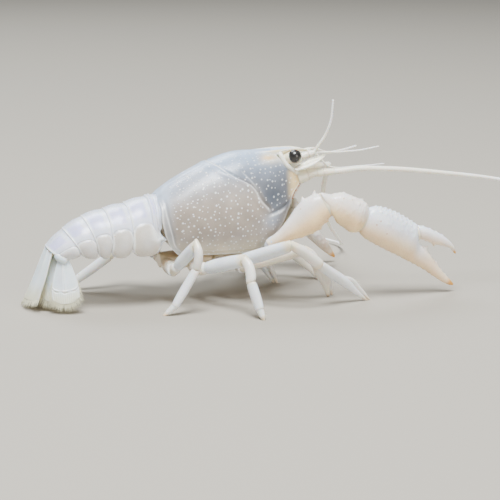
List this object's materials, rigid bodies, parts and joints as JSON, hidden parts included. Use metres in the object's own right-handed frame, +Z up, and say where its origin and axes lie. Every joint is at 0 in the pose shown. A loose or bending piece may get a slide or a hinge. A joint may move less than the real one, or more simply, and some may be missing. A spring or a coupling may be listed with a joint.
{
  "type": "everglades crayfish",
  "caption": "Life-size still model of a white everglades crayfish, standing with claws held forward, feelers spread and tail fan lowered.",
  "frame": {"origin": "middle of the whole animal's bounding box, at the level of the floor under its feet", "axes": "+X forward along the body towards the rostrum, +Y to the animal's left, +Z up"},
  "size_m": [0.1482, 0.0818, 0.0502],
  "materials": {
    "shell_grey": "satin, like a thin wet shell",
    "shell_white": "satin, like a thin wet shell",
    "fan_white": "satin, thin and slightly clear",
    "flesh_cream": "satin",
    "claw_white": "satin",
    "claw_peach": "satin",
    "leg_white": "satin",
    "feeler_white": "satin",
    "eye_black": "glossy"
  },
  "bodies": {
    "root": {"carapace": "shell_grey", "breastplate": "flesh_cream", "abdomen_1": "shell_white", "abdomen_2": "shell_white", "abdomen_3": "shell_white", "abdomen_4": "shell_white", "abdomen_5": "shell_white", "abdomen_6": "shell_white", "telson": "fan_white", "tail_inner_l": "fan_white", "tail_inner_r": "fan_white", "tail_outer_l": "fan_white", "tail_outer_r": "fan_white", "eye_l": "eye_black", "eye_r": "eye_black", "eyestalk_l": "flesh_cream", "eyestalk_r": "flesh_cream", "antennule_l": "feeler_white", "antennule_r": "feeler_white", "antenna_base_l": "flesh_cream", "antenna_base_r": "flesh_cream", "antenna_scale_l": "flesh_cream", "antenna_scale_r": "flesh_cream", "antenna_l": "feeler_white", "antenna_r": "feeler_white", "jaw_foot_l": "flesh_cream", "jaw_foot_r": "flesh_cream", "claw_arm_l": "claw_white", "claw_arm_r": "claw_white", "claw_wrist_l": "claw_white", "claw_wrist_r": "claw_white", "claw_hand_l": "claw_peach", "claw_hand_r": "claw_peach", "claw_finger_l": "claw_peach", "claw_finger_r": "claw_peach", "leg2_upper_l": "leg_white", "leg2_upper_r": "leg_white", "leg2_wrist_l": "leg_white", "leg2_wrist_r": "leg_white", "leg2_hand_l": "leg_white", "leg2_hand_r": "leg_white", "leg3_upper_l": "leg_white", "leg3_upper_r": "leg_white", "leg3_wrist_l": "leg_white", "leg3_wrist_r": "leg_white", "leg3_hand_l": "leg_white", "leg3_hand_r": "leg_white", "leg4_upper_l": "leg_white", "leg4_upper_r": "leg_white", "leg4_wrist_l": "leg_white", "leg4_wrist_r": "leg_white", "leg4_foot_l": "leg_white", "leg4_foot_r": "leg_white", "leg5_upper_l": "leg_white", "leg5_upper_r": "leg_white", "leg5_wrist_l": "leg_white", "leg5_wrist_r": "leg_white", "leg5_foot_l": "leg_white", "leg5_foot_r": "leg_white"}
  },
  "joints": []
}
